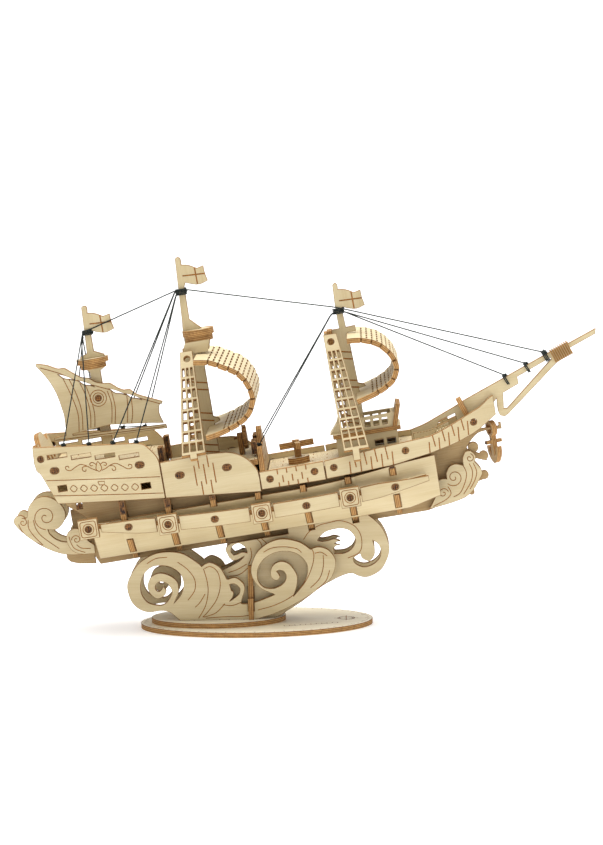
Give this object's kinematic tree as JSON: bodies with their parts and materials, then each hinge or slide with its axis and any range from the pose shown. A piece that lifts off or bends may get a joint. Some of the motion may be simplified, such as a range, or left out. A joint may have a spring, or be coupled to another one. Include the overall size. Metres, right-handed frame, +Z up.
{
  "type": "wooden ship jigsaw model",
  "caption": "Laser-cut plywood sailing ship that slots together from flat and bent sheets, with thread rigging, on a stand of wave scrolls and an oval base.",
  "frame": {"origin": "middle of the oval base's underside, on the surface it stands on", "axes": "+X towards the bow, +Y to port, +Z up"},
  "size_m": [0.2852, 0.075, 0.1819],
  "materials": {
    "birch_face": "bare birch ply face, satin, with scorched score lines",
    "shaded_birch": "bare birch ply, slightly smoked by the laser",
    "charred_edge": "laser-charred ply edge with visible layers",
    "thread": "twisted dark thread, matt"
  },
  "bodies": {
    "ship_on_stand": {"base_disc": "birch_face", "bow_panel_port": "birch_face", "bow_panel_starboard": "birch_face", "bow_scroll_port": "birch_face", "bow_scroll_starboard": "birch_face", "bowsprit": "birch_face", "break_bulkhead": "shaded_birch", "deckhouse": "birch_face", "fore_ladder_port": "birch_face", "fore_ladder_starboard": "birch_face", "fore_mast": "birch_face", "fore_sail": "birch_face", "fore_shroud_line": "thread", "forestay_line": "thread", "hull_side_port": "birch_face", "hull_side_starboard": "birch_face", "keel_plate": "shaded_birch", "lateen_sail": "birch_face", "main_deck": "birch_face", "main_ladder_port": "birch_face", "main_ladder_starboard": "birch_face", "main_mast": "birch_face", "main_sail": "birch_face", "main_shroud_line": "thread", "main_top": "charred_edge", "mizzen_mast": "birch_face", "mizzen_shroud_line": "thread", "plinth_disc": "birch_face", "poop_deck": "birch_face", "quarter_deck": "birch_face", "quarter_panel_port": "birch_face", "quarter_panel_starboard": "birch_face", "rib_1": "charred_edge", "rib_2": "charred_edge", "rib_3": "charred_edge", "rib_4": "charred_edge", "rib_5": "charred_edge", "rib_6": "charred_edge", "rib_7": "charred_edge", "stay_line": "thread", "stern_panel_port": "birch_face", "stern_panel_starboard": "birch_face", "stern_scroll_port": "birch_face", "stern_scroll_starboard": "birch_face", "topside_port": "shaded_birch", "topside_starboard": "shaded_birch", "transom": "birch_face", "waist_panel_port": "birch_face", "waist_panel_starboard": "birch_face", "wale_port": "birch_face", "wale_starboard": "birch_face", "wave_cross_plate": "shaded_birch", "wave_inner_port": "birch_face", "wave_inner_starboard": "birch_face", "wave_outer_port": "birch_face", "wave_outer_starboard": "birch_face"},
    "anchor": {"anchor": "charred_edge"},
    "capstan": {"capstan_head": "charred_edge"},
    "wheel": {"ships_wheel": "charred_edge"}
  },
  "joints": [
    {"name": "anchor_swing", "type": "hinge", "parent": "ship_on_stand", "child": "anchor", "pos_m": [0.11678, 0, 0.09499], "axis": [0.9898, 0, 0.1426], "range_deg": [-35, 35]},
    {"name": "capstan_turn", "type": "hinge", "parent": "ship_on_stand", "child": "capstan", "pos_m": [0.02191, 0, 0.08657], "axis": [-0.1426, 0, 0.9898], "continuous": true},
    {"name": "wheel_turn", "type": "hinge", "parent": "ship_on_stand", "child": "wheel", "pos_m": [-0.00323, 0, 0.09346], "axis": [0.9898, 0, 0.1426], "continuous": true}
  ]
}
